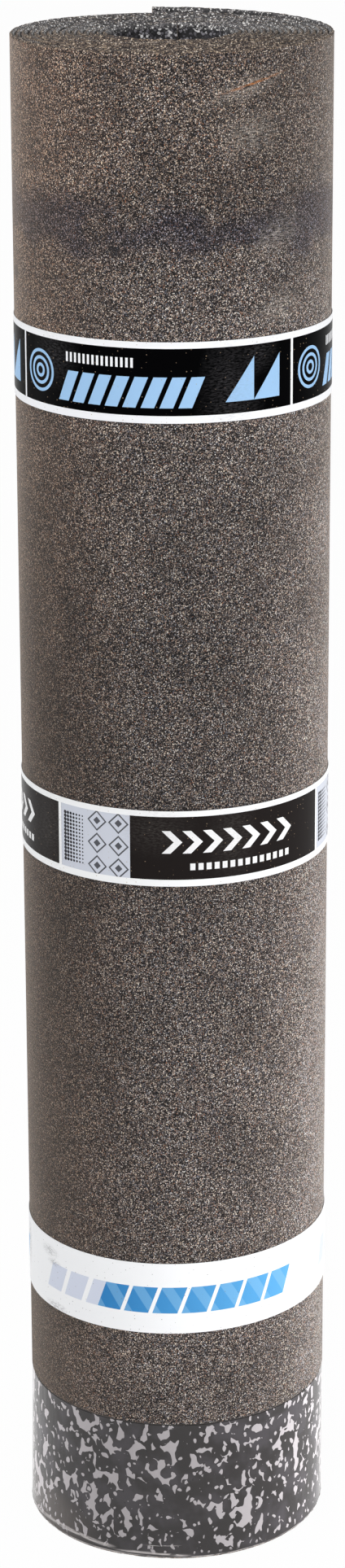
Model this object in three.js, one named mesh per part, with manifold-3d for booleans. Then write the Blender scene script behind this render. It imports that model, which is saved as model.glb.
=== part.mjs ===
// A roll of mineral-surfaced roofing felt, standing on end. One sheet of bitumen felt is wound
// counter-clockwise, seen from above, from the bore outwards, with its granules on the outside. Its lower
// edge is a bare self-adhesive strip, the selvedge, under a release film. Three printed bands hold the
// roll shut. Millimetres, +Z up. The origin is on the bore's axis, level with the lower end.

import * as THREE from "three";
import { mergeVertices } from "three/addons/utils/BufferGeometryUtils.js";
import Module from "manifold-3d";

const wasm = await Module();
wasm.setup();

// The sheet.
const sheetWidth = 1000; // the roll's height
const sheetLength = 7000;
const sheetThickness = 3; // with its granules
const granuleDepth = 0.9; // how far the granules stand out from the bare selvedge
const selvedgeWidth = 100;

// The winding.
const mandrelDiameter = 75; // what the first turn is wound round, drawn out again to leave the bore
const windingGap = 0.8; // air between one turn and the next
const grooveDepth = 8; // how far in from each end that air is open
const freeEndAngle = 96.6; // degrees from +X: where the outermost turn ends, at the back
const outerTurnRise = 3; // how far the free end has slid up along the roll
const riseFadeAngle = 190; // degrees behind the free end where that slip has died out

// The release film, which covers the selvedge.
const filmThickness = 0.2;
const filmLowerMargin = 1; // bare felt below the film
const filmUpperMargin = 0.5; // bare felt between the film and the granules

// The bands: strips of printed tape, each pulled tight round the roll and stuck down on its own start.
const bandWidth = 50;
const bandThickness = 0.25;
const bandLap = 30; // length that lies double
const bandLapRamp = 20; // length over which the end climbs onto the start
const upperBandHeight = 802; // from the lower end to the middle of the band
const middleBandHeight = 504;
const lowerBandHeight = 192.5;
const lowerBandLean = 0.9; // degrees that the band climbs towards +X
const bands = [
  { name: "upper_band", middle: upperBandHeight, lapAngle: 62, lean: 0, color: "#161517", roughness: 0.3 },
  { name: "middle_band", middle: middleBandHeight, lapAngle: 128, lean: 0, color: "#222022", roughness: 0.3 },
  {
    name: "lower_band", middle: lowerBandHeight, lapAngle: 74, lean: lowerBandLean,
    color: "#eeeef0", roughness: 0.5,
  },
];

const clearance = 0.3; // between pieces that lie on one another

// Facets.
const faceSegments = 72; // in one turn of the outer face, the film and the bands
const windingSegments = 36; // in one turn of the bore and of the gap between turns

const TURN = 2 * Math.PI;
const faceStep = TURN / faceSegments;
const windingStep = TURN / windingSegments;
const freeEnd = THREE.MathUtils.degToRad(freeEndAngle);

// A place along the sheet is its winding, the angle in radians that the roll has turned since the inner end.
// One turn adds the lead to the radius of the sheet's back and face.
const lead = sheetThickness + windingGap;
const backRadius = (winding) => mandrelDiameter / 2 + (lead * winding) / TURN;
const faceRadius = (winding) => backRadius(winding) + sheetThickness;

// The sheet's length is the sum of its mid-thickness arcs, which sets how far it winds.
const firstMidRadius = (mandrelDiameter + sheetThickness) / 2;
const lastMidRadius = Math.sqrt(firstMidRadius ** 2 + (lead * sheetLength) / Math.PI);
const endWinding = (TURN * (lastMidRadius - firstMidRadius)) / lead;
const outerTurnStart = endWinding - TURN;

const outermostRadius = faceRadius(endWinding);

// The angles from first to last, evenly spaced and no further apart than step.
function evenly(first, last, step) {
  const count = Math.max(1, Math.ceil((last - first) / step - 1e-6));
  return Array.from({ length: count + 1 }, (_, i) => first + ((last - first) * i) / count);
}

// The angles from first to last at which the face has an edge between facets. The free end is one of them.
function faceAngles(first, last) {
  const from = Math.floor((first - freeEnd) / faceStep) + 1;
  const to = Math.ceil((last - freeEnd) / faceStep) - 1;
  const between = Array.from({ length: to - from + 1 }, (_, i) => freeEnd + (from + i) * faceStep);
  return [first, ...between, last];
}

function pointAt(radius, angle) {
  return new THREE.Vector2(radius * Math.cos(angle), radius * Math.sin(angle));
}

// A point at a winding of the sheet. The last winding lies at the free end.
function woundPoint(radius, winding) {
  return pointAt(radius, freeEnd + winding - endWinding);
}

function prism(shape, bottom, top) {
  const depth = top - bottom;
  return new THREE.ExtrudeGeometry(shape, { depth, bevelEnabled: false }).translate(0, 0, bottom);
}

// A strip seen end on: out along its inner face and back along its outer one.
function stripShape(innerFace, outerFace) {
  return new THREE.Shape([...innerFace, ...outerFace.reverse()]);
}

function solidFrom(geometry) {
  const bare = geometry.clone();
  bare.deleteAttribute("normal");
  bare.deleteAttribute("uv");
  const merged = mergeVertices(bare, 1e-4);
  return new wasm.Manifold(
    new wasm.Mesh({
      numProp: 3,
      vertProperties: merged.attributes.position.array,
      triVerts: new Uint32Array(merged.index.array),
    }),
  );
}

function geometryFrom(solid) {
  const { vertProperties, triVerts } = solid.getMesh();
  return new THREE.BufferGeometry()
    .setAttribute("position", new THREE.BufferAttribute(vertProperties, 3))
    .setIndex(new THREE.BufferAttribute(triVerts, 1));
}

// The roll's cross-section. Both outlines are spirals: the outer one steps in by one lead at the free end,
// and the bore steps out by one lead at the inner end. The inset is what the face lacks of its granules.
function woundSection(inset) {
  const face = evenly(outerTurnStart, endWinding, faceStep);
  const bore = evenly(0, TURN, windingStep);
  const section = new THREE.Shape(face.map((w) => woundPoint(faceRadius(w) - inset, w)));
  section.holes.push(new THREE.Path(bore.map((w) => woundPoint(backRadius(w), w))));
  return section;
}

// The air between the turns, wider by the inset where the granules are missing. It runs one facet past the
// inner end and one past the free end, so that it is open to the bore and to the outside.
function windingGroove(inset, bottom, top) {
  const windings = [-windingStep, ...evenly(0, outerTurnStart, windingStep), outerTurnStart + faceStep];
  const face = windings.map((w) => woundPoint(faceRadius(w) - inset, w));
  const nextBack = windings.map((w) => woundPoint(backRadius(w + TURN), w));
  return prism(stripShape(face, nextBack), bottom, top);
}

// The outermost turn has slipped up along the roll: most at its free end, and less and less behind it.
function slideOuterTurn(geometry) {
  const position = geometry.attributes.position;
  const fade = THREE.MathUtils.degToRad(riseFadeAngle);
  const rounding = 1e-5; // keeps the free end's own points just behind it
  for (let i = 0; i < position.count; i += 1) {
    const x = position.getX(i);
    const y = position.getY(i);
    const behind = THREE.MathUtils.euclideanModulo(freeEnd - Math.atan2(y, x) + rounding, TURN);
    const onOuterTurn = Math.hypot(x, y) > backRadius(endWinding - behind) - windingGap / 2;
    const left = Math.max(0, 1 - behind / fade);
    if (onOuterTurn) position.setZ(i, position.getZ(i) + outerTurnRise * left ** 2);
  }
  return geometry;
}

function feltRoll() {
  const selvedge = solidFrom(prism(woundSection(granuleDepth), 0, selvedgeWidth));
  const granular = solidFrom(prism(woundSection(0), selvedgeWidth, sheetWidth));
  const lowerGroove = solidFrom(windingGroove(granuleDepth, -grooveDepth, grooveDepth));
  const upperGroove = solidFrom(windingGroove(0, sheetWidth - grooveDepth, sheetWidth + grooveDepth));
  const roll = selvedge.add(granular).subtract(lowerGroove).subtract(upperGroove);
  return slideOuterTurn(geometryFrom(roll));
}

// The film shows on the outermost turn only, and stops short of the step at the free end.
function lapFilm() {
  const start = outerTurnStart + clearance / faceRadius(outerTurnStart);
  const windings = evenly(start, endWinding, faceStep);
  const innerRadius = (w) => faceRadius(w) - granuleDepth + clearance;
  const innerFace = windings.map((w) => woundPoint(innerRadius(w), w));
  const outerFace = windings.map((w) => woundPoint(innerRadius(w) + filmThickness, w));
  const strip = stripShape(innerFace, outerFace);
  return slideOuterTurn(prism(strip, filmLowerMargin, selvedgeWidth - filmUpperMargin));
}

// The inside radius of a tight band: it lies on the face, and from the free end's edge it runs straight,
// as a tangent, to the turn below.
function tautRadius(angle) {
  const past = THREE.MathUtils.euclideanModulo(angle - freeEnd, TURN);
  const bridge = Math.acos(faceRadius(outerTurnStart) / outermostRadius);
  if (past >= bridge) return faceRadius(outerTurnStart + past);
  const landing = faceRadius(outerTurnStart + bridge);
  const run = outermostRadius * Math.sin(past) + landing * Math.sin(bridge - past);
  return (outermostRadius * landing * Math.sin(bridge)) / run;
}

function band({ middle, lapAngle, lean }) {
  const start = THREE.MathUtils.degToRad(lapAngle);
  const lapStart = start + TURN;
  const rampStart = lapStart - bandLapRamp / outermostRadius;
  const angles = faceAngles(start, lapStart + bandLap / outermostRadius);
  const innerRadius = (angle) => {
    const climbed = THREE.MathUtils.smoothstep(angle, rampStart, lapStart);
    return tautRadius(angle) + clearance + climbed * (bandThickness + clearance);
  };
  const innerFace = angles.map((angle) => pointAt(innerRadius(angle), angle));
  const outerFace = angles.map((angle) => pointAt(innerRadius(angle) + bandThickness, angle));
  const strip = stripShape(innerFace, outerFace);
  const geometry = prism(strip, middle - bandWidth / 2, middle + bandWidth / 2);
  const slope = Math.tan(THREE.MathUtils.degToRad(lean));
  return geometry.applyMatrix4(new THREE.Matrix4().makeShear(0, slope, 0, 0, 0, 0));
}

const roll = new THREE.Group();

function addPiece(name, geometry, color, roughness) {
  const material = new THREE.MeshStandardMaterial({ color, roughness, metalness: 0 });
  const mesh = new THREE.Mesh(geometry, material);
  mesh.name = name;
  roll.add(mesh);
}

addPiece("felt_roll", feltRoll(), "#5c534c", 0.95);
addPiece("lap_film", lapFilm(), "#4b4748", 0.2);
bands.forEach((each) => addPiece(each.name, band(each), each.color, each.roughness));

export default roll;
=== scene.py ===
"""Finish of a roll of mineral-surfaced roofing felt that stands on one end.

The felt is one strip carried along a spiral, with crumbled cut edges. The release film and the three
printed bands are thin strips carried round it. The prints are worked out from each band's own flat
coordinates.
"""

import math

import bpy
import numpy as np
from mathutils import Matrix, Vector

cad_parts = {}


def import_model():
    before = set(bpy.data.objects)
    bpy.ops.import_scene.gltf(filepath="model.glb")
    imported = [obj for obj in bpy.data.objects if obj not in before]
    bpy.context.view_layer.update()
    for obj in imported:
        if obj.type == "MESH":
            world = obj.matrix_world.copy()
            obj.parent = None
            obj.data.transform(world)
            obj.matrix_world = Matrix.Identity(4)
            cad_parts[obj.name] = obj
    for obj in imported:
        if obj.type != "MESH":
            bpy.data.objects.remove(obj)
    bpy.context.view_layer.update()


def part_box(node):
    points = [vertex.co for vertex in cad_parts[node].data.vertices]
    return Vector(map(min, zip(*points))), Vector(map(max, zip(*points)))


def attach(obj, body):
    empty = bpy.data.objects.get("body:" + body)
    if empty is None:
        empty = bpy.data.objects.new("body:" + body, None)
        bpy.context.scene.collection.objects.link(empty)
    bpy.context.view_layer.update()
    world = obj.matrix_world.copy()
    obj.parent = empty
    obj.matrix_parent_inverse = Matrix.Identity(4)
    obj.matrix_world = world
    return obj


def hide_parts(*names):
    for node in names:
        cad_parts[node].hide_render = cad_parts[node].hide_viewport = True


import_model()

MM = 0.001
TURN = 2 * math.pi

# The winding, as in the solid model.
SHEET_LENGTH = 7000 * MM
SHEET_THICKNESS = 3 * MM
GRANULE_DEPTH = 0.9 * MM
WINDING_GAP = 0.8 * MM
MANDREL_RADIUS = 37.5 * MM
FREE_END = math.radians(96.6)
OUTER_TURN_RISE = 3 * MM
RISE_FADE = math.radians(190)
CLEARANCE = 0.3 * MM
FILM_THICKNESS = 0.2 * MM
BAND_WIDTH = 50 * MM
BAND_THICKNESS = 0.25 * MM
BAND_LAP = 30 * MM
BAND_LAP_RAMP = 20 * MM

LEAD = SHEET_THICKNESS + WINDING_GAP
FIRST_MID_RADIUS = MANDREL_RADIUS + SHEET_THICKNESS / 2
LAST_MID_RADIUS = math.sqrt(FIRST_MID_RADIUS**2 + LEAD * SHEET_LENGTH / math.pi)
END_WINDING = TURN * (LAST_MID_RADIUS - FIRST_MID_RADIUS) / LEAD
OUTER_TURN_START = END_WINDING - TURN

SHEET_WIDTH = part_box("felt_roll")[1].z - OUTER_TURN_RISE
SELVEDGE_WIDTH = 100 * MM
LEDGE = 0.7 * MM  # half the height over which the granules thin out above the selvedge

# The loose foot of the outermost turn. A run is measured from the front.
BULGE_MIDDLE = -105 * MM
BULGE_REACH = 68 * MM
BULGE_HEIGHT = SELVEDGE_WIDTH - LEDGE
BULGE_DEPTH = 2.2 * MM

FRONT = math.radians(270)  # the side that the bands' prints are centred on
PRINT_RADIUS = 99.6 * MM  # at which an angle round the roll becomes a run along its face

# The steps of the meshes.
FELT_COLUMNS = 4000  # along the whole of its run
THIN_COLUMNS = 700  # along the film's run and a band's
BAND_ROWS = 12
SHARP_EDGE = math.radians(50)  # an edge that turns by more isn't smoothed


# ---------------------------------------------------------------- the winding


def back_radius(winding):
    """Radius of the sheet's back: the mandrel's, plus one lead for each turn wound."""
    return MANDREL_RADIUS + LEAD * winding / TURN


def face_radius(winding):
    """Radius of the sheet's granule face: its back's, plus the sheet."""
    return back_radius(winding) + SHEET_THICKNESS


def winding_at(length):
    """Winding of a place on the sheet: the w for which its length along the sheet is first mid
    radius * w + lead * w^2 / (4 pi)."""
    radius = np.sqrt(FIRST_MID_RADIUS**2 + LEAD * length / math.pi)
    return TURN * (radius - FIRST_MID_RADIUS) / LEAD


def angle_at(winding):
    """Angle round the axis of a place on the sheet. The last winding lies at the free end."""
    return FREE_END + winding - END_WINDING


def run_at(angle):
    """Run from the front to an angle round the axis, along the roll's face."""
    return (angle - FRONT) * PRINT_RADIUS


def slide(winding):
    """How far the outermost turn has slid up: the rise at the free end, times the square of what is
    left of its fade behind it."""
    left = np.maximum(0, 1 - (END_WINDING - winding) / RISE_FADE)
    return OUTER_TURN_RISE * left**2


def bulge(run, height):
    """How far the loose foot of the outermost turn stands out: a flat-topped bell along the run,
    times what is left of the foot's height."""
    bell = np.exp(-(((run - BULGE_MIDDLE) / BULGE_REACH) ** 4))
    left = np.clip(1 - height / BULGE_HEIGHT, 0, 1)
    return BULGE_DEPTH * bell * left


def taut_radius(angle):
    """Inside radius of a tight band: the face's own, and from the free end's edge a straight tangent
    down to the turn below."""
    past = np.mod(angle - FREE_END, TURN)
    high = face_radius(END_WINDING)
    bridge = math.acos(face_radius(OUTER_TURN_START) / high)
    low = face_radius(OUTER_TURN_START + bridge)
    straight = high * low * math.sin(bridge) / (high * np.sin(past) + low * np.sin(bridge - past))
    return np.where(past < bridge, straight, face_radius(OUTER_TURN_START + past))


def waves(along, wavelength, seed, count=7):
    """Smooth unevenness of about unit size: a sum of sines 0.6 to 1.9 wavelengths long, at random
    phases."""
    rng = np.random.default_rng(seed)
    lengths = wavelength * rng.uniform(0.6, 1.9, count)
    phases = rng.uniform(0, TURN, count)
    total = sum(np.sin(TURN * along / length + phase) for length, phase in zip(lengths, phases))
    return total / math.sqrt(count / 2)


# ---------------------------------------------------------------- meshes


def strip(name, angle, radius, height, run, flat_height, materials, material_of_row, crease=None):
    """A strip with thickness, carried along its run.

    radius and height are arrays of [ring, run]. Each column is a closed ring of the strip's section, up
    its face, in across its top edge, down its back and out across its bottom edge. It stands at its
    angle round the axis. The two ends are capped. run and flat_height are the strip's own flat
    coordinates, and crease is how far each place is creased, from 0 to 1.
    """
    rings, columns = radius.shape
    points = np.stack([radius * np.cos(angle), radius * np.sin(angle), height], axis=-1)
    grid = np.arange(rings * columns).reshape(rings, columns)
    above = np.roll(grid, -1, axis=0)
    quads = np.stack([grid[:, :-1], grid[:, 1:], above[:, 1:], above[:, :-1]], axis=-1).reshape(-1, 4)
    caps = [grid[:, 0].tolist(), grid[::-1, -1].tolist()]
    mesh = bpy.data.meshes.new(name)
    mesh.from_pydata(points.reshape(-1, 3), [], quads.tolist() + caps)
    for material in materials:
        mesh.materials.append(material)
    indices = np.append(np.repeat(material_of_row, columns - 1), [material_of_row[-1]] * len(caps))
    mesh.polygons.foreach_set("material_index", indices.astype(np.int32))
    mesh.polygons.foreach_set("use_smooth", np.ones(len(mesh.polygons), bool))
    corner = np.zeros(len(mesh.loops), np.int32)
    mesh.loops.foreach_get("vertex_index", corner)
    flat = np.stack(np.broadcast_arrays(run, flat_height), axis=-1).reshape(-1, 2)
    mesh.uv_layers.new(name="flat").data.foreach_set("uv", flat[corner].astype(np.float32).ravel())
    if crease is not None:
        creases = mesh.attributes.new("crease", "FLOAT", "POINT")
        creases.data.foreach_set("value", crease.astype(np.float32).ravel())
    mesh.set_sharp_from_angle(angle=SHARP_EDGE)
    mesh.update()
    piece = bpy.data.objects.new(name, mesh)
    bpy.context.scene.collection.objects.link(piece)
    return piece


def thin_strip(name, angle, inside, thickness, up, material, crease=None):
    """A thin strip round the roll. up is the height of its rows as an array of [row, run], inside is
    the radius of its back, and crease is as for a strip. Its flat height is measured from the middle
    between its edges."""
    inside = np.broadcast_to(inside, up.shape)
    radius = np.concatenate([inside + thickness, inside[::-1]])
    height = np.concatenate([up, up[::-1]])
    if crease is not None:
        crease = np.concatenate([crease, crease[::-1]])
    flat_height = height - (up[0] + up[-1]) / 2
    rows = [0] * len(height)
    return strip(name, angle, radius, height, run_at(angle), flat_height, [material], rows, crease)


def stands_for(piece, node):
    """Has a piece ride the roll's one body, in place of a solid."""
    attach(piece, "root")
    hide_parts(node)


# ---------------------------------------------------------------- shader nodes

MATH = "ShaderNodeMath"
VECTOR = "ShaderNodeVectorMath"
MAPPING = "ShaderNodeMapping"
NOISE = "ShaderNodeTexNoise"
VORONOI = "ShaderNodeTexVoronoi"
RANGE = "ShaderNodeMapRange"
MIX = "ShaderNodeMix"
SPLIT = "ShaderNodeSeparateColor"
BUMP = "ShaderNodeBump"

# Settings that come up again and again.
SMOOTH = {"interpolation_type": "SMOOTHSTEP"}
BLENDED = {"data_type": "RGBA"}
TINTED = {"data_type": "RGBA", "blend_type": "MULTIPLY"}
ADDED = {"data_type": "RGBA", "blend_type": "ADD"}
FLAT = {"noise_dimensions": "2D"}
FLAT_CELLS = {"voronoi_dimensions": "2D"}


def linear(hex_colour):
    """An sRGB hex colour as linear RGBA."""
    channels = [int(hex_colour[i : i + 2], 16) / 255 for i in (1, 3, 5)]
    return [c / 12.92 if c <= 0.04045 else ((c + 0.055) / 1.055) ** 2.4 for c in channels] + [1.0]


def fill(tree, node, inputs):
    """Fills a node's inputs with values, sockets or nodes. A dict fills them by name, and a list
    fills the ones in use in their order. A node stands for its first output in use."""
    if isinstance(inputs, dict):
        pairs = [(node.inputs[name], value) for name, value in inputs.items()]
    else:
        pairs = zip([socket for socket in node.inputs if socket.enabled], inputs)
    for socket, value in pairs:
        if isinstance(value, bpy.types.Node):
            value = next(output for output in value.outputs if output.enabled)
        if isinstance(value, bpy.types.NodeSocket):
            tree.links.new(value, socket)
        else:
            socket.default_value = value


def add(tree, kind, inputs=(), **settings):
    """Adds a node, sets its properties and fills its inputs."""
    node = tree.nodes.new(kind)
    for key, value in settings.items():
        setattr(node, key, value)
    fill(tree, node, inputs)
    return node


def all_of(tree, *masks):
    """1 where every mask is 1: their product."""
    total = masks[0]
    for mask in masks[1:]:
        total = add(tree, MATH, [total, mask], operation="MULTIPLY")
    return total


def any_of(tree, *masks):
    """1 where any mask is 1: the highest of them."""
    total = masks[0]
    for mask in masks[1:]:
        total = add(tree, MATH, [total, mask], operation="MAXIMUM")
    return total


def zone(tree, place, centre, reach, tilt):
    """A soft oval on a flat surface: 1 in its middle, 0 at its rim and beyond."""
    turned = (0, 0, math.radians(tilt))
    inside = {"Vector": place, "Location": (*centre, 0), "Rotation": turned, "Scale": (*reach, 1)}
    moved = add(tree, MAPPING, inside, vector_type="TEXTURE")
    return add(tree, "ShaderNodeTexGradient", [moved], gradient_type="SPHERICAL").outputs["Fac"]


def any_zone(tree, place, zones):
    """The highest of several zones at each place."""
    return any_of(tree, *[zone(tree, place, *each) for each in zones])


def flat_place(tree):
    """The piece's flat coordinates in millimetres: the place, its run from the front and its flat
    height."""
    layer = add(tree, "ShaderNodeUVMap", uv_map="flat")
    scaled = add(tree, VECTOR, [layer, 1 / MM], operation="SCALE")
    split = add(tree, "ShaderNodeSeparateXYZ", [scaled])
    return scaled, split.outputs[0], split.outputs[1]


def new_material(name, constants):
    """A material with its Principled shader, whose own sockets take the constants."""
    material = bpy.data.materials.new(name)
    material.use_nodes = True
    shader = material.node_tree.nodes["Principled BSDF"]
    fill(material.node_tree, shader, constants)
    return material, material.node_tree, shader


# ---------------------------------------------------------------- the felt's materials

# Kinds of grain, as (share of the mix, colour).
SLATE = [(20, "#0c0b0d"), (16, "#383231"), (17, "#625855"), (15, "#8a7d77"), (8, "#7a7d88"),
         (11, "#b39d8d"), (8, "#d8cdc3"), (1.5, "#a5735a"), (3.5, "#fbf6f3")]
FLAKES = [(34, "#1b1a1d"), (20, "#37353a"), (17, "#5e5c62"), (14, "#86848a"), (9, "#b5b3b6"),
          (7, "#eeecec")]
EDGE_FLAKES = [(28, "#1a191b"), (22, "#454245"), (18, "#716e70"), (14, "#989594"), (9, "#c3c0be"),
               (9, "#f8f6f4")]
CUT = [(44, "#1b1819"), (26, "#332e2d"), (14, "#5f5651"), (9, "#948779"), (7, "#dacdc0")]
TORN = [(28, "#262020"), (28, "#4b413b"), (23, "#6e6056"), (14, "#94836f"), (7, "#cbbba9")]
CRUMBS = [(32, "#1c140f"), (26, "#5a4636"), (24, "#8f765f"), (18, "#cdb296")]
GRAIN_TURN = (0.5, 0.7, 0.3)  # about the three axes
GRANULE_SIZE = 0.58 * MM

# Places on the felt, as (run from the front, height) and (half width, half height) in mm, and a tilt.
RUBBED = [((46, 977), (40, 11), 16), ((50, 951), (32, 20), 8), ((70, 888), (30, 17), 20),
          ((71, 843), (26, 18), 12)]
TARRED = [((-133, 856), (9, 7), 0), ((137, 836), (5, 7), 0), ((-35, 881), (8, 4), -20)]
SCRATCHED = ((52, 980), (30, 1.3), 14)
DAMP_STRIPE = ((0, 912), (1000, 23), 0)
STRIPE_WANDER = 34  # mm

# Wide places on the felt, each with a tint: painted warm light on the left, painted shade lower on the
# left and across the middle, a warmer tone near the top and a darker one near it on the right. Then a
# painted rim light low on the right, which makes the felt there up to 1 + the gain below times as pale.
TONES_AND_PAINTED_LIGHT = [(((-142, 500), (140, 5000), 0), "#ffebda"), (((-105, 380), (85, 650), 0), "#bfbfbf"),
         (((-30, 570), (190, 300), 0), "#dfdfdf"), (((10, 970), (180, 140), 0), "#fff9f3"),
         (((58, 955), (118, 130), 0), "#e8e8e8")]
PAINTED_RIM_LIGHT = ((150, 140), (115, 1200), 0)
RIM_LIGHT_GAIN = 2.6
PALEST = 0.9  # no grain is paler than this, in linear light


def mixed_grains(tree, place, size, kinds):
    """Grains of one size, each of one of the kinds: their colour, how far each place is from its
    grain's middle, and a random draw for each grain. They are turned, so that none of their layers
    shows as stripes along the roll."""
    turned = add(tree, MAPPING, {"Vector": place, "Rotation": GRAIN_TURN})
    grains = add(tree, VORONOI, {"Vector": turned, "Scale": 1 / size})
    draws = add(tree, SPLIT, [grains.outputs["Color"]])
    ramp = add(tree, "ShaderNodeValToRGB", [draws.outputs[0]])
    ramp.color_ramp.interpolation = "CONSTANT"
    points = ramp.color_ramp.elements
    while len(points) < len(kinds):
        points.new(0.5)
    shares = [share for share, colour in kinds]
    starts = np.cumsum([0] + shares)[:-1] / sum(shares)
    for point, start, (share, colour) in zip(points, starts, kinds):
        point.position = start
        point.color = linear(colour)
    return ramp, grains.outputs["Distance"], draws.outputs[1]


def grain_height(tree, distance, draw):
    """Each grain stands up in its middle, by its own draw."""
    middle = add(tree, MATH, [1.0, distance], operation="SUBTRACT")
    return add(tree, MATH, [middle, draw], operation="MULTIPLY")


def slate_granules():
    """Crushed slate and ceramic-coated grit, 0.5 to 1 mm, pressed into bitumen: each grain is its
    own brown, tan, grey or black, dark bitumen shows between them, and the face is dry and matt.
    Dark pits 0.5 to 0.9 mm across are left where a grain is missing, and a few pale grains stand
    out. The tone drifts in soft clouds, and in wide places it is warmer near the top and darker near
    it on the right. Other wide places carry painted warm light on the left and painted shade lower on
    the left and across the middle, and a painted rim light makes the felt paler low on the right. A
    bluish damp stripe with a wandering edge runs round under the upper end. Handling has rubbed some
    places pale in streaks, left one rusty scratch, and smeared others dark with bitumen."""
    finish = {"Roughness": 0.85, "Specular IOR Level": 0.25, "Sheen Weight": 0.4,
              "Sheen Roughness": 0.35, "Sheen Tint": linear("#fff0e2")}
    material, tree, shader = new_material("slate_granules", finish)
    place = add(tree, "ShaderNodeTexCoord").outputs["Object"]
    flat, _, _ = flat_place(tree)

    # The grains, with dark bitumen between them.
    colour, distance, draw = mixed_grains(tree, place, GRANULE_SIZE, SLATE)
    between = add(tree, RANGE, [distance, 0.45, 0.75], **SMOOTH)
    colour = add(tree, MIX, [between, colour, linear("#1a1819")], **BLENDED)

    # The pits and the pale grains: specks of two kinds and of many sizes.
    specks = add(tree, VORONOI, {"Vector": flat, "Scale": 1 / 1.7}, **FLAT_CELLS)
    draws = add(tree, SPLIT, [specks.outputs["Color"]])
    reach = add(tree, RANGE, [draws.outputs[1], 0.0, 1.0, 0.14, 0.26])
    speck = add(tree, MATH, [specks.outputs["Distance"], reach], operation="LESS_THAN")
    is_pit = add(tree, MATH, [draws.outputs[0], 0.9], operation="LESS_THAN")
    is_pale = add(tree, MATH, [draws.outputs[0], 0.92], operation="GREATER_THAN")
    colour = add(tree, MIX, [all_of(tree, speck, is_pit), colour, linear("#120f10")], **BLENDED)
    colour = add(tree, MIX, [all_of(tree, speck, is_pale), colour, linear("#e8d9c4")], **BLENDED)

    # The clouds, some 40 mm across, and the wide places: tints of tone, painted warm light and painted
    # shade, then the painted rim light.
    soft = {"Vector": place, "Scale": 1 / (38 * MM), "Detail": 2.0, "Roughness": 0.45}
    cloud = add(tree, NOISE, soft)
    shade = add(tree, RANGE, [cloud, 0.32, 0.68, 0.76, 1.06])
    colour = add(tree, MIX, [1.0, colour, shade], **TINTED)
    for where, tint in TONES_AND_PAINTED_LIGHT:
        share = add(tree, RANGE, [zone(tree, flat, *where), 0.0, 0.8], **SMOOTH)
        colour = add(tree, MIX, [share, colour, linear(tint)], **TINTED)
    # Painted rim light: low on the right the felt is made up to 1 + the gain times as pale.
    paler = add(tree, MATH, [zone(tree, flat, *PAINTED_RIM_LIGHT), 2.0], operation="POWER")
    gain = add(tree, MATH, [paler, RIM_LIGHT_GAIN, 1.0], operation="MULTIPLY_ADD")
    colour = add(tree, VECTOR, [colour, gain], operation="SCALE")
    colour = add(tree, VECTOR, [colour, (PALEST, PALEST, PALEST)], operation="MINIMUM")

    # The damp stripe, shifted up and down by noise some 30 mm long and broken up by the clouds.
    drift = add(tree, NOISE, {"Vector": flat, "Scale": 1 / 30, "Detail": 2.0}, **FLAT)
    shifted = [drift.outputs["Color"], (0, STRIPE_WANDER, 0), flat]
    wandered = add(tree, VECTOR, shifted, operation="MULTIPLY_ADD")
    patchy = add(tree, RANGE, [cloud, 0.30, 0.60, 0.25, 1.0])
    stripe = all_of(tree, zone(tree, wandered, *DAMP_STRIPE), patchy)
    damp = add(tree, RANGE, [stripe, 0.0, 0.6], **SMOOTH)
    colour = add(tree, MIX, [damp, colour, linear("#b8bbce")], **TINTED)

    # The marks of handling, in streaks some 5 mm long and 0.8 mm wide.
    drawn_out = {"Vector": flat, "Rotation": (0, 0, math.radians(14)), "Scale": (0.2, 1.3, 1)}
    slanting = add(tree, MAPPING, drawn_out)
    streaks = add(tree, NOISE, {"Vector": slanting, "Scale": 1, "Detail": 3.0}, **FLAT)
    streaky = add(tree, RANGE, [streaks, 0.30, 0.70], **SMOOTH)
    rubbed = all_of(tree, any_zone(tree, flat, RUBBED), streaky)
    rubbed = add(tree, RANGE, [rubbed, 0.0, 1.3, 0.0, 0.55], **SMOOTH)
    colour = add(tree, MIX, [rubbed, colour, linear("#c3bab1")], **BLENDED)
    broken = add(tree, RANGE, [streaks, 0.36, 0.52], **SMOOTH)
    scratch = all_of(tree, zone(tree, flat, *SCRATCHED), broken)
    scratch = add(tree, RANGE, [scratch, 0.0, 1.1], **SMOOTH)
    colour = add(tree, MIX, [scratch, colour, linear("#a8672f")], **BLENDED)
    tarred = add(tree, RANGE, [any_zone(tree, flat, TARRED), 0.1, 0.6, 0.0, 0.75], **SMOOTH)
    colour = add(tree, MIX, [tarred, colour, linear("#1c1a1c")], **BLENDED)

    height = grain_height(tree, distance, draw)
    bump = add(tree, BUMP, {"Strength": 0.6, "Distance": 0.5 * MM, "Height": height})
    fill(tree, shader, {"Base Color": colour, "Normal": bump})
    return material


def bare_bitumen():
    """Oxidised bitumen under the film: near black, smooth and a little oily, with smears some 10 mm
    across."""
    material, tree, shader = new_material("bare_bitumen", {"Roughness": 0.5})
    place = add(tree, "ShaderNodeTexCoord").outputs["Object"]
    smear = add(tree, NOISE, {"Vector": place, "Scale": 1 / (9 * MM), "Detail": 3.0})
    colour = add(tree, MIX, [smear, linear("#1c1a19"), linear("#3a3431")], **BLENDED)
    fill(tree, shader, {"Base Color": colour})
    return material


def cut_edge(name, size, kinds):
    """The sheet's cut through: brown-black bitumen with the fibres of the mat and grains torn
    through. They are drawn coarser than real ones, so that they show."""
    finish = {"Roughness": 0.8, "Specular IOR Level": 0.25}
    material, tree, shader = new_material(name, finish)
    place = add(tree, "ShaderNodeTexCoord").outputs["Object"]
    colour, _, draw = mixed_grains(tree, place, size, kinds)
    bump = add(tree, BUMP, {"Strength": 0.6, "Distance": 0.4 * MM, "Height": draw})
    fill(tree, shader, {"Base Color": colour, "Normal": bump})
    return material


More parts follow.
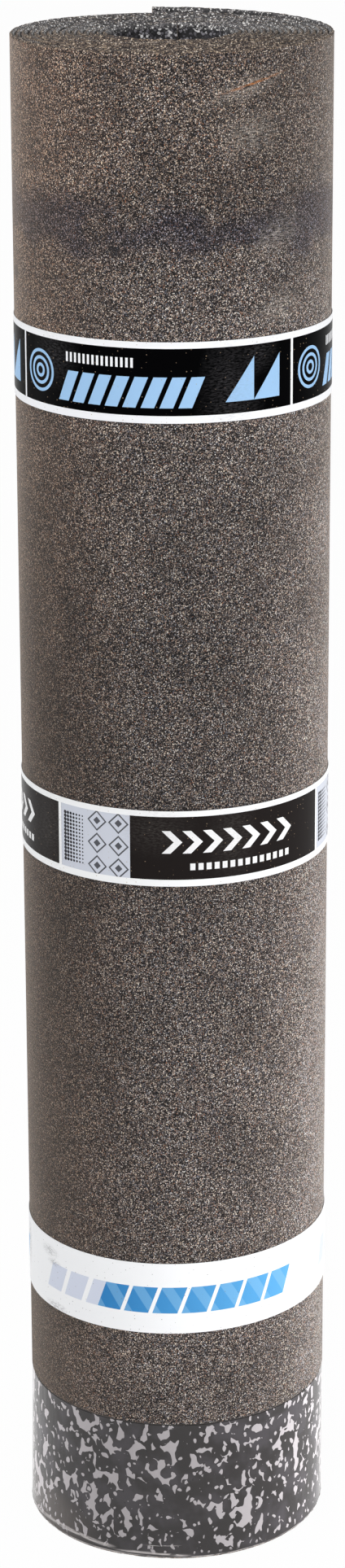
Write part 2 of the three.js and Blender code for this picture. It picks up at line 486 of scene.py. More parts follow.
def flaked(name, size, kinds):
    """The sheet's back: bitumen dusted with pale stone flakes, which catch the light. The flakes'
    outlines are bent, so that no two are alike. They are drawn coarser than real ones, so that they
    show."""
    material, tree, shader = new_material(name, {"Roughness": 0.55})
    place = add(tree, "ShaderNodeTexCoord").outputs["Object"]
    bent = add(tree, NOISE, {"Vector": place, "Scale": 1 / (2 * MM), "Detail": 1.0})
    shifted = [bent.outputs["Color"], (1.2 * MM,) * 3, place]
    moved = add(tree, VECTOR, shifted, operation="MULTIPLY_ADD")
    colour, distance, draw = mixed_grains(tree, moved, size, kinds)
    between = add(tree, RANGE, [distance, 0.5, 0.7], **SMOOTH)
    colour = add(tree, MIX, [between, colour, linear("#171619")], **BLENDED)
    height = grain_height(tree, distance, draw)
    bump = add(tree, BUMP, {"Strength": 0.8, "Distance": 0.8 * MM, "Height": height})
    fill(tree, shader, {"Base Color": colour, "Normal": bump})
    return material


# ---------------------------------------------------------------- the film's material

# Places on the film, as (run from the front, height from its middle) and (half width, half height) in
# mm, and a tilt: its sides, with painted light; painted streaks of glare up them; where it is browner;
# and its middle, darker with painted shade.
PAINTED_LIGHT_SIDES = [((150, 0), (110, 1000), 0), ((-160, 0), (95, 1000), 0)]
PAINTED_GLARE_STREAKS = [((157, 0), (36, 1000), 0), ((-158, -10), (34, 70), 0)]
BROWNED = ((-105, -38), (60, 26), 0)
PAINTED_SHADE_MIDDLE = ((-20, 0), (75, 1000), 0)
WETTED = 2.085  # above this dryness the film has not wetted the bitumen


def release_film():
    """Siliconised polyethylene film on the overlap's bitumen: glossy, dark grey where it has wetted
    the bitumen and light grey in the pockets where it hasn't. The wet places spread as rounded
    fronts from points some 7 mm apart, so that the pockets left between them are hollow-sided and
    run out into cusps. Small pockets 1 to 4 mm across lie between. Its sides carry painted light with
    painted streaks of glare, and its middle painted shade. It is whitish on its folded lower edge, and
    on its creases, where the white is partly the film's own and partly a painted highlight."""
    material, tree, shader = new_material("release_film", {"Roughness": 0.16})
    place, _, up = flat_place(tree)

    # How dry each place stayed: by how far it is from a wet point, bent by a few millimetres, and less
    # so near both edges. The pockets are a third taller than they are wide.
    tall = add(tree, MAPPING, {"Vector": place, "Scale": (1.0, 0.75, 1)})
    bent = add(tree, NOISE, {"Vector": tall, "Scale": 1 / 7, "Detail": 1.5}, **FLAT)
    shifted = [bent.outputs["Color"], (4.5, 4.5, 0), tall]
    moved = add(tree, VECTOR, shifted, operation="MULTIPLY_ADD")
    wet_points = add(tree, VORONOI, {"Vector": moved, "Scale": 1 / 6.3}, **FLAT_CELLS)
    uneven = add(tree, NOISE, {"Vector": tall, "Scale": 1 / 9, "Detail": 1.0}, **FLAT)
    wide = add(tree, NOISE, {"Vector": tall, "Scale": 1 / 42, "Detail": 0.0}, **FLAT)
    near_foot = add(tree, RANGE, [up, -50.0, -12.0, -0.30, 0.0])
    near_top = add(tree, RANGE, [up, 44.0, 49.0, 0.0, -0.25])
    dry = add(tree, MATH, [uneven, 1.9, wet_points.outputs["Distance"]], operation="MULTIPLY_ADD")
    dry = add(tree, MATH, [wide, 0.8, dry], operation="MULTIPLY_ADD")
    dry = add(tree, MATH, [dry, near_foot], operation="ADD")
    dry = add(tree, MATH, [dry, near_top], operation="ADD")

    # The pockets, small ones and drops between them, and none in the folded edge.
    large = add(tree, RANGE, [dry, WETTED, WETTED + 0.03], **SMOOTH)
    points = add(tree, VORONOI, {"Vector": moved, "Scale": 1 / 4.2}, **FLAT_CELLS)
    drift = add(tree, NOISE, {"Vector": tall, "Scale": 1 / 7, "Detail": 1.0}, **FLAT)
    small = add(tree, MATH, [drift, points.outputs["Distance"]], operation="ADD")
    small = add(tree, RANGE, [small, 1.32, 1.34], **SMOOTH)
    drops = add(tree, VORONOI, {"Vector": moved, "Scale": 1 / 5}, **FLAT_CELLS)
    draws = add(tree, SPLIT, [drops.outputs["Color"]])
    reach = add(tree, RANGE, [draws.outputs[0], 0.6, 1.0, 0.0, 0.3])
    drop = add(tree, MATH, [drops.outputs["Distance"], reach], operation="LESS_THAN")
    above_fold = add(tree, RANGE, [up, -48.0, -45.0], **SMOOTH)
    pockets = all_of(tree, any_of(tree, large, small, drop), above_fold)

    # The wetted film, hazy in places 24 mm across, with a dark rim along the pockets, and the pockets.
    haze = add(tree, NOISE, {"Vector": place, "Scale": 1 / 24, "Detail": 3.0}, **FLAT)
    hazy = add(tree, RANGE, [haze, 0.40, 0.70], **SMOOTH)
    wetted = add(tree, MIX, [hazy, linear("#2a2626"), linear("#413d41")], **BLENDED)
    brown = add(tree, RANGE, [zone(tree, place, *BROWNED), 0.0, 0.7], **SMOOTH)
    wetted = add(tree, MIX, [brown, wetted, linear("#4b4441")], **BLENDED)
    rim = add(tree, RANGE, [dry, WETTED - 0.055, WETTED], **SMOOTH)
    wetted = add(tree, MIX, [rim, wetted, linear("#1d1a1a")], **BLENDED)
    colour = add(tree, MIX, [pockets, wetted, linear("#b6b0b3")], **BLENDED)

    # Painted light on the sides, painted shade in the middle, and painted glare in streaks 2.5 mm wide
    # and 50 mm tall.
    pale = add(tree, RANGE, [any_zone(tree, place, PAINTED_LIGHT_SIDES), 0.0, 1.0], **SMOOTH)
    colour = add(tree, MIX, [pale, colour, colour], **ADDED)
    dark = add(tree, RANGE, [zone(tree, place, *PAINTED_SHADE_MIDDLE), 0.0, 0.8], **SMOOTH)
    colour = add(tree, MIX, [dark, colour, linear("#e9e9e9")], **TINTED)
    upright = add(tree, MAPPING, {"Vector": place, "Scale": (0.4, 0.02, 1)})
    streaks = add(tree, NOISE, {"Vector": upright, "Scale": 1, "Detail": 3.0}, **FLAT)
    streaky = add(tree, RANGE, [streaks, 0.3, 0.65], **SMOOTH)
    painted_glare = all_of(tree, any_zone(tree, place, PAINTED_GLARE_STREAKS), streaky)
    painted_glare = add(tree, RANGE, [painted_glare, 0.0, 1.0, 0.0, 0.4], **SMOOTH)
    colour = add(tree, MIX, [painted_glare, colour, linear("#e2d8d2")], **BLENDED)

    # The whitish creases and folded lower edge, torn into fibres some 11 mm long and 1.2 mm wide. On
    # the creases the white is partly the film's own whitening and partly a painted highlight along
    # their ridges.
    crease = add(tree, "ShaderNodeAttribute", attribute_name="crease").outputs["Fac"]
    lengthwise = add(tree, MAPPING, {"Vector": place, "Scale": (0.09, 0.85, 1)})
    fibrous = {"Vector": lengthwise, "Scale": 1, "Detail": 4.0, "Distortion": 0.6}
    fibres = add(tree, NOISE, fibrous, **FLAT)
    torn = add(tree, RANGE, [fibres, 0.40, 0.52, 0.15, 1.0])
    colour = add(tree, MIX, [all_of(tree, crease, torn), colour, linear("#bdb7b6")], **BLENDED)

    # Shallow wrinkles, 8 mm wide and 33 mm tall, and pockets that stand out a little.
    shallow = add(tree, MAPPING, {"Vector": place, "Scale": (0.13, 0.03, 1)})
    wrinkle = add(tree, NOISE, {"Vector": shallow, "Scale": 1, "Detail": 2.0}, **FLAT)
    height = add(tree, MATH, [pockets, 0.1, wrinkle], operation="MULTIPLY_ADD")
    bump = add(tree, BUMP, {"Strength": 0.3, "Distance": 1 * MM, "Height": height})
    fill(tree, shader, {"Base Color": colour, "Normal": bump})
    return material


# ---------------------------------------------------------------- the tapes' materials

# Places as on the film: on the black and charcoal tapes, painted highlights where light glances off
# their slight waves; on the white tape, where other bands have rubbed it.
BLACK_TAPE_PAINTED_GLARE = [((35, -2), (20, 40), 0), ((37, -17), (24, 18), 0), ((54, 15), (18, 14), 25),
                ((-80, 12), (22, 24), 0)]
CHARCOAL_TAPE_PAINTED_GLARE = [((38, 6), (18, 36), 0), ((-12, 12), (30, 20), 0), ((-90, 0), (30, 30), 0)]
WHITE_SCUFFS = [((-99, 15), (12, 5), 0), ((-94, 8), (9, 3), 0), ((-92, -23), (14, 4), 0),
                ((-140, 6), (9, 22), 0)]


def framed(tree, run, up, middle, size):
    """1 inside an upright rectangle of the print, else 0."""
    across = add(tree, MATH, [run, middle[0], size[0] / 2], operation="COMPARE")
    along = add(tree, MATH, [up, middle[1], size[1] / 2], operation="COMPARE")
    return all_of(tree, across, along)


def leaning(tree, run, up, lean):
    """A place's run in a print that leans: the run less a share of the height."""
    return add(tree, MATH, [up, -lean, run], operation="MULTIPLY_ADD")


def repeated(tree, run, pitch, start):
    """How far into its step each place of a run is, from 0 to 1, where the steps are equal."""
    past = add(tree, MATH, [run, start], operation="SUBTRACT")
    steps = add(tree, MATH, [past, pitch], operation="DIVIDE")
    return add(tree, MATH, [steps], operation="FRACT")


def stripes(tree, run, pitch, start, filled):
    """1 in the first, filled share of each step of a run, else 0."""
    return add(tree, MATH, [repeated(tree, run, pitch, start), filled], operation="LESS_THAN")


def centred(tree, run, pitch, start):
    """How far each place of a run is from its step's middle, in steps."""
    off = add(tree, MATH, [repeated(tree, run, pitch, start), 0.5], operation="SUBTRACT")
    return add(tree, MATH, [off], operation="ABSOLUTE")


def length_of(tree, along, up):
    """Length of a flat vector."""
    both = add(tree, "ShaderNodeCombineXYZ", [along, up])
    return add(tree, VECTOR, [both], operation="LENGTH")


def borders(tree, up, top, bottom):
    """1 in the plain margins along a band's two edges."""
    edge = BAND_WIDTH / MM / 2
    upper = add(tree, MATH, [up, edge - top], operation="GREATER_THAN")
    lower = add(tree, MATH, [up, bottom - edge], operation="LESS_THAN")
    return any_of(tree, upper, lower)


def tape(name, roughness, gloss):
    """A tape's material, its nodes and shader, and the parts of its flat place."""
    finish = {"Roughness": roughness, "Specular IOR Level": gloss}
    material, tree, shader = new_material(name, finish)
    return material, tree, shader, *flat_place(tree)


def marks_and_glare(tree, shader, place, print_colour, dust, scuff_and_glare_colour, scuff_and_glare_share, scuff_and_glare_places):
    """Colours a tape with its print and what lies over it: specks of grit up to 0.7 mm across in the
    dust's colour, and grey hazes in streaks some 3 mm long and 1 mm wide, in the places given. On the
    black and charcoal tapes these hazes are painted highlights where light glances off the tape's
    slight waves; on the white tape they are scuffs where bands rubbed."""
    specks = add(tree, VORONOI, {"Vector": place, "Scale": 1 / 3}, **FLAT_CELLS)
    draws = add(tree, SPLIT, [specks.outputs["Color"]])
    reach = add(tree, RANGE, [draws.outputs[0], 0.8, 1.0, 0.0, 0.12])
    grit = add(tree, MATH, [specks.outputs["Distance"], reach], operation="LESS_THAN")
    dusty = add(tree, MATH, [grit, 0.6], operation="MULTIPLY")
    colour = add(tree, MIX, [dusty, print_colour, linear(dust)], **BLENDED)
    drawn_out = {"Vector": place, "Rotation": (0, 0, math.radians(25)), "Scale": (0.35, 1.1, 1)}
    slanting = add(tree, MAPPING, drawn_out)
    hazy = {"Vector": slanting, "Scale": 1, "Detail": 5.0, "Roughness": 0.7}
    haze = add(tree, RANGE, [add(tree, NOISE, hazy, **FLAT), 0.35, 0.75], **SMOOTH)
    worn = all_of(tree, any_zone(tree, place, scuff_and_glare_places), haze, scuff_and_glare_share)
    colour = add(tree, MIX, [worn, colour, linear(scuff_and_glare_colour)], **BLENDED)
    fill(tree, shader, {"Base Color": colour})


# The prints are laid out in millimetres of the band's flat coordinates. Each repeats round the band,
# and start and end are where one copy of it starts and ends.


def black_tape():
    """Printed polypropylene tape, black with white margins. Its print, in light blue and white, is
    one of plain shapes: rings for a roll, slanted bars, ramps and a row of ticks."""
    material, tree, shader, place, run, up = tape("black_tape", roughness=0.25, gloss=0.01)
    start, end = -114.2, 80.6
    local = add(tree, MATH, [run, end, start], operation="WRAP")

    rings_middle, ring_pitch, rings_reach = -94.0, 4.4, 13.2
    off = add(tree, MATH, [local, rings_middle], operation="SUBTRACT")
    away = length_of(tree, off, up)
    ring = add(tree, MATH, [repeated(tree, away, ring_pitch, 0.0), 0.55], operation="GREATER_THAN")
    rings = all_of(tree, ring, add(tree, MATH, [away, rings_reach], operation="LESS_THAN"))

    slanted = leaning(tree, local, up, 0.42)
    bar = stripes(tree, slanted, pitch=11.5, start=-70, filled=0.72)
    bars = all_of(tree, bar, framed(tree, slanted, up, (-24, -6), (91.5, 19)))
    tick = stripes(tree, local, pitch=3.2, start=-70, filled=0.5)
    ticks = all_of(tree, tick, framed(tree, local, up, (-46, 12), (48, 6)))
    ramp_foot, ramp_height = -13.0, 27.0
    climb = repeated(tree, local, pitch=19, start=33)
    slope = add(tree, MATH, [climb, ramp_height, ramp_foot], operation="MULTIPLY_ADD")
    below = add(tree, MATH, [up, slope], operation="LESS_THAN")
    ramps = all_of(tree, below, framed(tree, local, up, (52, 1), (38, 28)))

    divider = add(tree, MATH, [local, start + 1, 1.0], operation="COMPARE")
    white = any_of(tree, borders(tree, up, 4.0, 4.7), divider, ticks)
    light_blue = any_of(tree, rings, bars, ramps)
    colour = add(tree, MIX, [light_blue, linear("#030304"), linear("#9dc3e8")], **BLENDED)
    colour = add(tree, MIX, [white, colour, linear("#f1f2f5")], **BLENDED)
    # Over the print, painted highlights in grey where light glances off the tape's slight waves.
    marks_and_glare(tree, shader, place, colour, "#a58f78", "#6a686b", 0.3, BLACK_TAPE_PAINTED_GLARE)
    return material


def charcoal_tape():
    """Printed polypropylene tape with white margins: black panels with rows of white arrowheads and
    dashes, and pale ones with dotted squares and diamonds."""
    material, tree, shader, place, run, up = tape("charcoal_tape", roughness=0.25, gloss=0.04)
    start, end = -80.6, 113.6
    local = add(tree, MATH, [run, end, start], operation="WRAP")
    pale = add(tree, MATH, [local, -53.6, 25.8], operation="COMPARE")

    arrow_height = 4.5  # of the row's middle
    off = add(tree, MATH, [up, arrow_height], operation="SUBTRACT")
    folded = add(tree, MATH, [off], operation="ABSOLUTE")
    pointed = add(tree, MATH, [local, folded], operation="ADD")
    arrow = stripes(tree, pointed, pitch=13, start=0, filled=0.42)
    arrows = all_of(tree, arrow, framed(tree, pointed, up, (45.5, arrow_height), (91, 15)))
    dash = stripes(tree, local, pitch=5.2, start=0, filled=0.62)
    dashes = all_of(tree, dash, framed(tree, local, up, (46, -12), (72, 4.5)))

    dot_pitch = 2.4
    away = length_of(tree, centred(tree, local, dot_pitch, -77), centred(tree, up, dot_pitch, -16.5))
    dot_size = add(tree, RANGE, [local, -77.0, -60.0, 0.52, 0.2])
    dot = add(tree, MATH, [away, dot_size], operation="LESS_THAN")
    dots = all_of(tree, dot, framed(tree, local, up, (-68.6, 0.3), (16.8, 33.6)))

    diamond_pitch = 15
    across = centred(tree, local, diamond_pitch, -58.0)
    around = add(tree, MATH, [across, centred(tree, up, diamond_pitch, -22.5)], operation="ADD")
    outline = add(tree, MATH, [around, 0.42, 0.045], operation="COMPARE")
    core = add(tree, MATH, [around, 0.17], operation="LESS_THAN")
    diamonds = all_of(tree, any_of(tree, outline, core), framed(tree, local, up, (-43, 0), (30, 45)))

    ink = add(tree, MIX, [diamonds, linear("#cbcfda"), linear("#55565c")], **BLENDED)
    ink = add(tree, MIX, [dots, ink, linear("#333338")], **BLENDED)
    marks = any_of(tree, arrows, dashes)
    colour = add(tree, MIX, [marks, linear("#1e1a19"), linear("#ececed")], **BLENDED)
    colour = add(tree, MIX, [pale, colour, ink], **BLENDED)
    left = add(tree, MATH, [local, start + 0.5, 0.6], operation="COMPARE")
    right = add(tree, MATH, [local, end - 0.6, 0.8], operation="COMPARE")
    white = any_of(tree, borders(tree, up, 3.7, 4.5), left, right)
    colour = add(tree, MIX, [white, colour, linear("#f3f4f5")], **BLENDED)
    # Over the print, painted highlights in grey where light glances off the tape's slight waves.
    marks_and_glare(tree, shader, place, colour, "#a58f78", "#6b6763", 0.3, CHARCOAL_TAPE_PAINTED_GLARE)
    return material


def white_tape():
    """Printed polypropylene tape, white. Its print is a row of leaning tiles in two blues, some with
    a lighter facet, over the same tiles in pale lilac grey."""
    material, tree, shader, place, run, up = tape("white_tape", roughness=0.35, gloss=0.3)
    start, end = -102.0, 124.0
    local = add(tree, MATH, [run, end, start], operation="WRAP")
    slanted = leaning(tree, local, up, 0.36)
    tile_pitch, tile_height, row_height = 19.2, 18.6, -1.2
    row_length = 7 * tile_pitch

    tile = stripes(tree, slanted, tile_pitch, start=-50, filled=0.86)
    tiles = all_of(tree, tile, framed(tree, slanted, up, (17.2, row_height), (row_length, tile_height)))
    facet = stripes(tree, leaning(tree, local, up, -0.62), tile_pitch, start=-43, filled=0.42)
    tint = add(tree, RANGE, [local, -55.0, 85.0])
    blues = add(tree, MIX, [tint, linear("#1c7bbd"), linear("#5cade6")], **BLENDED)
    lighter = add(tree, MATH, [facet, 0.4], operation="MULTIPLY")
    blues = add(tree, MIX, [lighter, blues, linear("#8cc4ea")], **BLENDED)

    ghost = stripes(tree, slanted, tile_pitch, start=-98, filled=0.8)
    ghosts = all_of(tree, ghost, framed(tree, slanted, up, (-74.5, row_height), (49, tile_height)))
    worn = add(tree, MATH, [ghosts, 0.85], operation="MULTIPLY")
    colour = add(tree, MIX, [worn, linear("#f7f8fa"), linear("#ccd3e6")], **BLENDED)
    colour = add(tree, MIX, [tiles, colour, blues], **BLENDED)
    marks_and_glare(tree, shader, place, colour, "#6d6a6c", "#77757a", 1.0, WHITE_SCUFFS)
    return material


# ---------------------------------------------------------------- pieces

# The felt's section: how far its faces stop short of its edges, the rows across those edges as shares
# of the thickness, and the power by which the top edge rounds off.
SHOULDER = 1.2 * MM
HEEL = 0.6 * MM
OVER_TOP = np.array([0.95, 0.84, 0.68, 0.5, 0.32, 0.16, 0.05])
UNDER_BOTTOM = np.array([0.15, 0.5, 0.85])
ROUNDING = 2.5

# How uneven the turns are, as swings and their wavelengths: in height, within a limit, and in pitch.
LONG_SWING, LONG_WAVE = 0.4 * MM, 0.55 * TURN
SHORT_SWING, SHORT_WAVE = 0.15 * MM, 0.13 * TURN
MOST_SWING = 0.8 * MM
PITCH_SWING, PITCH_WAVE = 0.15 * MM, 0.3 * TURN

# How far the crumbs stand out: up, down and sideways on the cut edges, and on the bitumen below the
# film.
CRUMB_UP = 0.13 * MM
CRUMB_DOWN = 0.15 * MM
CRUMB_OUT = 0.1 * MM
CRUMB_SQUEEZED = 0.08 * MM
LIKENESS = 0.6  # of each crumb to the one before it

SQUEEZED_OUT = 0.42 * MM  # how far bitumen stands out below the film

# The film's creases, as places along each, (run from the front, height above its lower edge), and its
# half width, in mm.
CREASES = [
    ([(-136, 1.6), (-119, 3.0), (-100, 5.0), (-82, 5.4), (-70, 5.6), (-58, 4.6), (-41, 3.4)], 1.3),
    ([(-44, 1.6), (-30, 2.6), (-18, 2.8), (-2, 2.2), (12, 1.4)], 0.8),
    ([(-26, 8.4), (-12, 8.6), (4, 9.2)], 0.2),
]
CREASE_FADE = 9 * MM  # how far in from its ends a crease is full
FOLD_HEIGHT = 0.96 * MM
FOLD_FADE = 0.4 * MM
RIDGE_HEIGHT = 0.5 * MM
RIDGE_START = 1.5 * MM  # above the lower edge, where a ridge has its full height


def felt_rows():
    """The rows of the felt's section: their heights, their depths from the back as shares of the
    thickness, which of them are on the top edge and on the bottom edge, and their materials. They go
    up the face, in over the rounded top edge, down the back and out over the bottom edge."""
    top = SHEET_WIDTH
    face = [HEEL, 0.95 * MM, SELVEDGE_WIDTH - LEDGE, SELVEDGE_WIDTH + LEDGE, 500 * MM, top - 10 * MM,
            top - 3 * MM, top - SHOULDER]
    back = [top - SHOULDER, top - 3 * MM, top - 12 * MM, 500 * MM, 6 * MM, HEEL]
    crown = top - SHOULDER * np.abs(2 * OVER_TOP - 1) ** ROUNDING
    heights = np.concatenate([face, crown, back, np.zeros(len(UNDER_BOTTOM))])
    depths = np.concatenate([np.ones(len(face)), OVER_TOP, np.zeros(len(back)), UNDER_BOTTOM])
    row = np.arange(len(heights))
    last_face = len(face) - 1
    first_back = len(face) + len(OVER_TOP)
    last_back = first_back + len(back) - 1
    is_top = (row >= last_face) & (row <= first_back)
    is_bottom = (row >= last_back) | (row == 0)

    granules, bitumen, torn, cut, back_flakes, edge_flakes, crumbs = range(7)  # as in felt_materials
    materials = np.full(len(heights), cut)
    on_selvedge = heights[1 : len(face)] <= SELVEDGE_WIDTH + LEDGE
    materials[:last_face] = np.where(on_selvedge, bitumen, granules)
    materials[is_bottom] = crumbs
    materials[last_face : last_face + 3] = torn
    materials[first_back - 3 : first_back + 1] = edge_flakes
    materials[first_back + 1 : last_back] = back_flakes
    return heights, depths, is_top, is_bottom, materials


def felt_materials():
    """The felt's materials, in the order of their numbers."""
    return [
        slate_granules(),
        bare_bitumen(),
        cut_edge("torn_granules", 0.8 * MM, TORN),
        cut_edge("cut_felt_edge", 0.8 * MM, CUT),
        flaked("flaked_back", 1.8 * MM, FLAKES),
        flaked("flaked_edge", 1.1 * MM, EDGE_FLAKES),
        cut_edge("crumbled_lower_edge", 0.9 * MM, CRUMBS),
    ]


def wound_felt():
    """The felt: a strip 3 mm thick along the whole spiral, with crumbled edges. The selvedge's rows
    lie one granule depth lower. Each turn sits a little higher or lower than the next, and the
    outermost has slid up at its free end. At its foot a little bitumen is squeezed out below the
    film."""
    winding = winding_at(np.linspace(0, SHEET_LENGTH, FELT_COLUMNS))
    angle = angle_at(winding)
    run = run_at(angle + TURN)
    heights, depths, is_top, is_bottom, rows = felt_rows()
    heights, depths = heights[:, None], depths[:, None]
    is_top, is_bottom = is_top[:, None], is_bottom[:, None]
    on_outer_turn = winding > OUTER_TURN_START
    inner = np.clip((END_WINDING - RISE_FADE - winding) / TURN, 0, 1)  # 0 on the outermost turn

    crumb = np.random.default_rng(11).normal(0, 1, (len(rows), FELT_COLUMNS))
    crumb = (crumb + LIKENESS * np.roll(crumb, 1, axis=1)) / 1.17  # 1.17 keeps it at unit size
    uneven = LONG_SWING * waves(winding, LONG_WAVE, 3) + SHORT_SWING * waves(winding, SHORT_WAVE, 4)
    lift = slide(winding) + inner * np.clip(uneven, -MOST_SWING, MOST_SWING)
    lift = np.where(is_bottom, np.maximum(lift, 0), lift)
    height = heights + lift + CRUMB_UP * crumb * is_top
    height += np.where(is_bottom, CRUMB_DOWN * np.abs(crumb), 0)

    thickness = SHEET_THICKNESS - np.where(heights < SELVEDGE_WIDTH, GRANULE_DEPTH, 0)
    radius = back_radius(winding) + depths * thickness
    radius = radius + inner * PITCH_SWING * waves(winding, PITCH_WAVE, 6)
    radius += np.where(on_outer_turn, bulge(run, height), 0)
    radius += np.where(is_top | is_bottom, CRUMB_OUT * crumb, 0)
    squeezed_out = SQUEEZED_OUT + CRUMB_SQUEEZED * np.clip(crumb[0], -2, 2)
    radius[0] += np.where(on_outer_turn, squeezed_out, 0)
    piece = strip("wound_felt", angle, radius, height, run, height, felt_materials(), rows)
    stands_for(piece, "felt_roll")


def creased(run, height):
    """How far each place on the film is creased: for each crease a flat-topped bell across its line,
    fading in and out along it, and full on the folded lower edge."""
    total = np.clip((FOLD_HEIGHT - height) / FOLD_FADE, 0, 1) * np.ones_like(run)
    for points, half_width in CREASES:
        runs, heights = np.array(points).T * MM
        line = np.interp(run, runs, heights)
        ends = np.clip(np.minimum(run - runs[0], runs[-1] - run) / CREASE_FADE, 0, 1)
        total = np.maximum(total, ends * np.exp(-(((height - line) / (half_width * MM)) ** 4)))
    return total


def lap_film():
    """The film on the outermost turn's selvedge, drawn up into low ridges along its creases. Its
    rows lie close together near its lower edge, where the creases are."""
    low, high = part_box("lap_film")
    start = OUTER_TURN_START + CLEARANCE / face_radius(OUTER_TURN_START)
    winding = np.linspace(start, END_WINDING, THIN_COLUMNS)
    angle = angle_at(winding) + TURN
    lift = slide(winding)
    bottom, top = low.z + lift, high.z - OUTER_TURN_RISE + lift
    creased_rows, plain_rows = np.linspace(0, 0.11, 34), np.linspace(0.12, 1, 14)
    share = np.concatenate([creased_rows, plain_rows])[:, None]
    up = bottom + (top - bottom) * share
    run = run_at(angle)
    crease = creased(run, up - bottom)
    ridge = RIDGE_HEIGHT * crease * np.clip((up - bottom) / RIDGE_START, 0, 1)
    inside = face_radius(winding) - GRANULE_DEPTH + CLEARANCE + bulge(run, up) + ridge
    piece = thin_strip("release_film", angle, inside, FILM_THICKNESS, up, release_film(), crease)
    stands_for(piece, "lap_film")


def band(level, lap_angle, material):
    """A tight band: the taut radius all round, and one layer further out over its own lap. It leans
    by the height that its solid gains across the roll."""
    node = f"{level}_band"
    low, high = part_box(node)
    start = math.radians(lap_angle)
    reach = face_radius(END_WINDING)
    lap_start = start + TURN
    angle = np.linspace(start, lap_start + BAND_LAP / reach, THIN_COLUMNS)
    ramp = np.clip((angle - lap_start) * reach / BAND_LAP_RAMP + 1, 0, 1)
    climbed = ramp * ramp * (3 - 2 * ramp)
    inside = taut_radius(angle) + CLEARANCE + climbed * (BAND_THICKNESS + CLEARANCE)
    lean = (high.z - low.z - BAND_WIDTH) / (high.x - low.x)
    middle = (low.z + high.z) / 2 + lean * inside * np.cos(angle)
    up = middle + BAND_WIDTH * np.linspace(-0.5, 0.5, BAND_ROWS)[:, None]
    piece = thin_strip(f"{level}_tape", angle, inside, BAND_THICKNESS, up, material)
    stands_for(piece, node)


# ---------------------------------------------------------------- stage, light and camera

WHITE = (1, 1, 1, 1)

# Light from all round: a direction, and the strength of what comes from just there.
AROUND = [((0.42, -0.91, 0), 0.62), ((0.5, 0.87, 0), 0.7), ((0, 0, 1), 0.25)]
LEAST_LIGHT = 0.05

CAMERA_PLACE = (0.00095, -2.358, 1.2916)
CAMERA_PITCH = math.radians(18.246)  # how far it is tipped down
CAMERA_YAW = math.radians(-0.0381)
CAMERA_ROLL = math.radians(-0.2448)
CAMERA_LENS = 87.35
CAMERA_SENSOR = 36


def white_where_seen(tree, share, lit, seen, output):
    """Mixes the lit surface with plain white for camera, glossy and transmission rays, by a share."""
    rays = add(tree, "ShaderNodeLightPath")
    kinds = [rays.outputs[f"Is {kind} Ray"] for kind in ("Camera", "Glossy", "Transmission")]
    shown = add(tree, MATH, [any_of(tree, *kinds), share], operation="MULTIPLY")
    fill(tree, output, {"Surface": add(tree, "ShaderNodeMixShader", [shown, lit, seen])})


def floor():
    """White seamless paper. Most of what the camera sees of it is plain white, so its shadow is
    faint."""
    reach = 40.0
    corners = [(-reach, -reach, 0), (reach, -reach, 0), (reach, reach, 0), (-reach, reach, 0)]
    mesh = bpy.data.meshes.new("studio_floor")
    mesh.from_pydata(corners, [], [(0, 1, 2, 3)])
    material = bpy.data.materials.new("studio_paper")
    material.use_nodes = True
    tree = material.node_tree
    tree.nodes.clear()
    output = add(tree, "ShaderNodeOutputMaterial")
    paper = add(tree, "ShaderNodeBsdfDiffuse", {"Color": linear("#f4f4f4")})
    glow = add(tree, "ShaderNodeEmission", {"Color": WHITE, "Strength": 1.0})
    white_where_seen(tree, 0.97, paper, glow, output)
    mesh.materials.append(material)
    plane = bpy.data.objects.new("studio_floor", mesh)
    bpy.context.scene.collection.objects.link(plane)


def world():
    """Even studio light: white all round for what is seen or mirrored. What is lit gets most of it
    from in front and from behind, both a little from the right, less from above and little from
    elsewhere."""
    surroundings = bpy.data.worlds.new("studio")
    bpy.context.scene.world = surroundings
    surroundings.use_nodes = True
    tree = surroundings.node_tree
    tree.nodes.clear()
    output = add(tree, "ShaderNodeOutputWorld")
    direction = add(tree, "ShaderNodeTexCoord").outputs["Generated"]
    level = LEAST_LIGHT
    for towards, most in AROUND:
        facing = add(tree, VECTOR, [direction, towards], operation="DOT_PRODUCT")
        share = add(tree, RANGE, [facing, 0.0, 1.0, 0.0, most])
        level = add(tree, MATH, [level, share], operation="ADD")
    lit = add(tree, "ShaderNodeBackground", {"Color": WHITE, "Strength": level})
    seen = add(tree, "ShaderNodeBackground", {"Color": WHITE, "Strength": 1.0})
    white_where_seen(tree, 1.0, lit, seen, output)


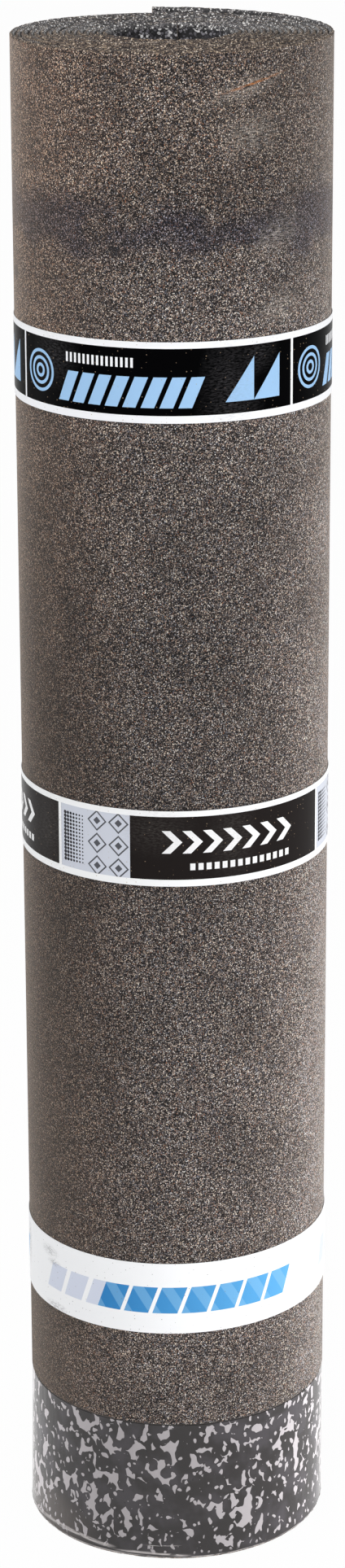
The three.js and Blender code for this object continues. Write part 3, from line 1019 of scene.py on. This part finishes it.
def lamp(name, place, target, size, watts, mirrored=True):
    """A soft lamp at a place, turned to a target. One that isn't mirrored leaves no bright patch on
    glossy tape."""
    data = bpy.data.lights.new(name, "AREA")
    data.shape = "RECTANGLE"
    data.size, data.size_y = size
    data.energy = watts
    light = bpy.data.objects.new(name, data)
    light.location = place
    light.rotation_euler = (Vector(target) - Vector(place)).to_track_quat("-Z", "Y").to_euler()
    light.visible_glossy = mirrored
    bpy.context.scene.collection.objects.link(light)


def camera():
    """A long lens at a little over the roll's height, tipped down on it."""
    ahead = np.array([math.sin(CAMERA_YAW), math.cos(CAMERA_YAW), 0])
    forward = math.cos(CAMERA_PITCH) * ahead - math.sin(CAMERA_PITCH) * np.array([0, 0, 1])
    level = np.array([math.cos(CAMERA_YAW), -math.sin(CAMERA_YAW), 0])
    upright = np.cross(level, forward)
    right = math.cos(CAMERA_ROLL) * level + math.sin(CAMERA_ROLL) * upright
    up = math.cos(CAMERA_ROLL) * upright - math.sin(CAMERA_ROLL) * level
    data = bpy.data.cameras.new("camera")
    data.sensor_width = CAMERA_SENSOR
    data.lens = CAMERA_LENS
    data.clip_end = 100
    viewer = bpy.data.objects.new("camera", data)
    axes = Matrix(np.stack([right, up, -forward], axis=1).tolist()).to_4x4()
    axes.translation = CAMERA_PLACE
    viewer.matrix_world = axes
    bpy.context.scene.collection.objects.link(viewer)
    bpy.context.scene.camera = viewer


wound_felt()
lap_film()
band("upper", 62, black_tape())
band("middle", 128, charcoal_tape())
band("lower", 74, white_tape())
floor()
world()
lamp("left_softbox", (-1.2, 0.15, 0.8), (0, 0, 0.5), (0.8, 1.6), 6)
lamp("right_softbox", (0.8, 0.26, 0.08), (0, 0, 0.05), (0.7, 0.6), 3, mirrored=False)
lamp("front_softbox", (1.0, -0.9, 0.12), (0, 0, 0.1), (1.4, 0.8), 13, mirrored=False)
lamp("top_softbox", (-0.3, -0.75, 1.9), (0, 0, 0.97), (0.9, 0.9), 11)
camera()

bpy.context.scene.view_settings.view_transform = "Standard"
